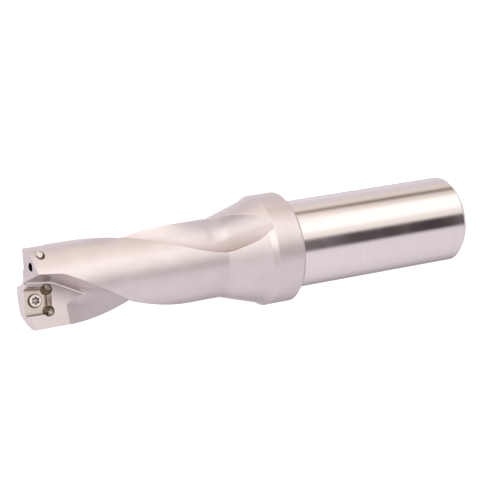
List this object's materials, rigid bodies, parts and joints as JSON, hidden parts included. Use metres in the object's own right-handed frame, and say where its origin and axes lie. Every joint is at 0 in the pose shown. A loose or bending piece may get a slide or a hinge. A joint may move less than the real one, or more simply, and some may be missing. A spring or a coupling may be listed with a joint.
{
  "type": "indexable drill body",
  "caption": "Indexable drill body with a cylindrical shank, flange, helical chip flutes, square insert seats and insert screws.",
  "frame": {"origin": "centre of the shank's rear end face, which the drill stands on", "axes": "+Z along the drill's axis from the shank to the tip, +X the way the inner insert's rake face looks, +Y from the inner insert seat towards the outer one"},
  "size_m": [0.0316, 0.0316, 0.1335],
  "materials": {
    "satin_nickel": "satin nickel on the fluted body, bright ground shank",
    "screw_steel": "bright"
  },
  "bodies": {
    "root": {"drill_body": "satin_nickel", "inner_insert_screw": "screw_steel", "outer_insert_screw": "screw_steel"}
  },
  "joints": []
}
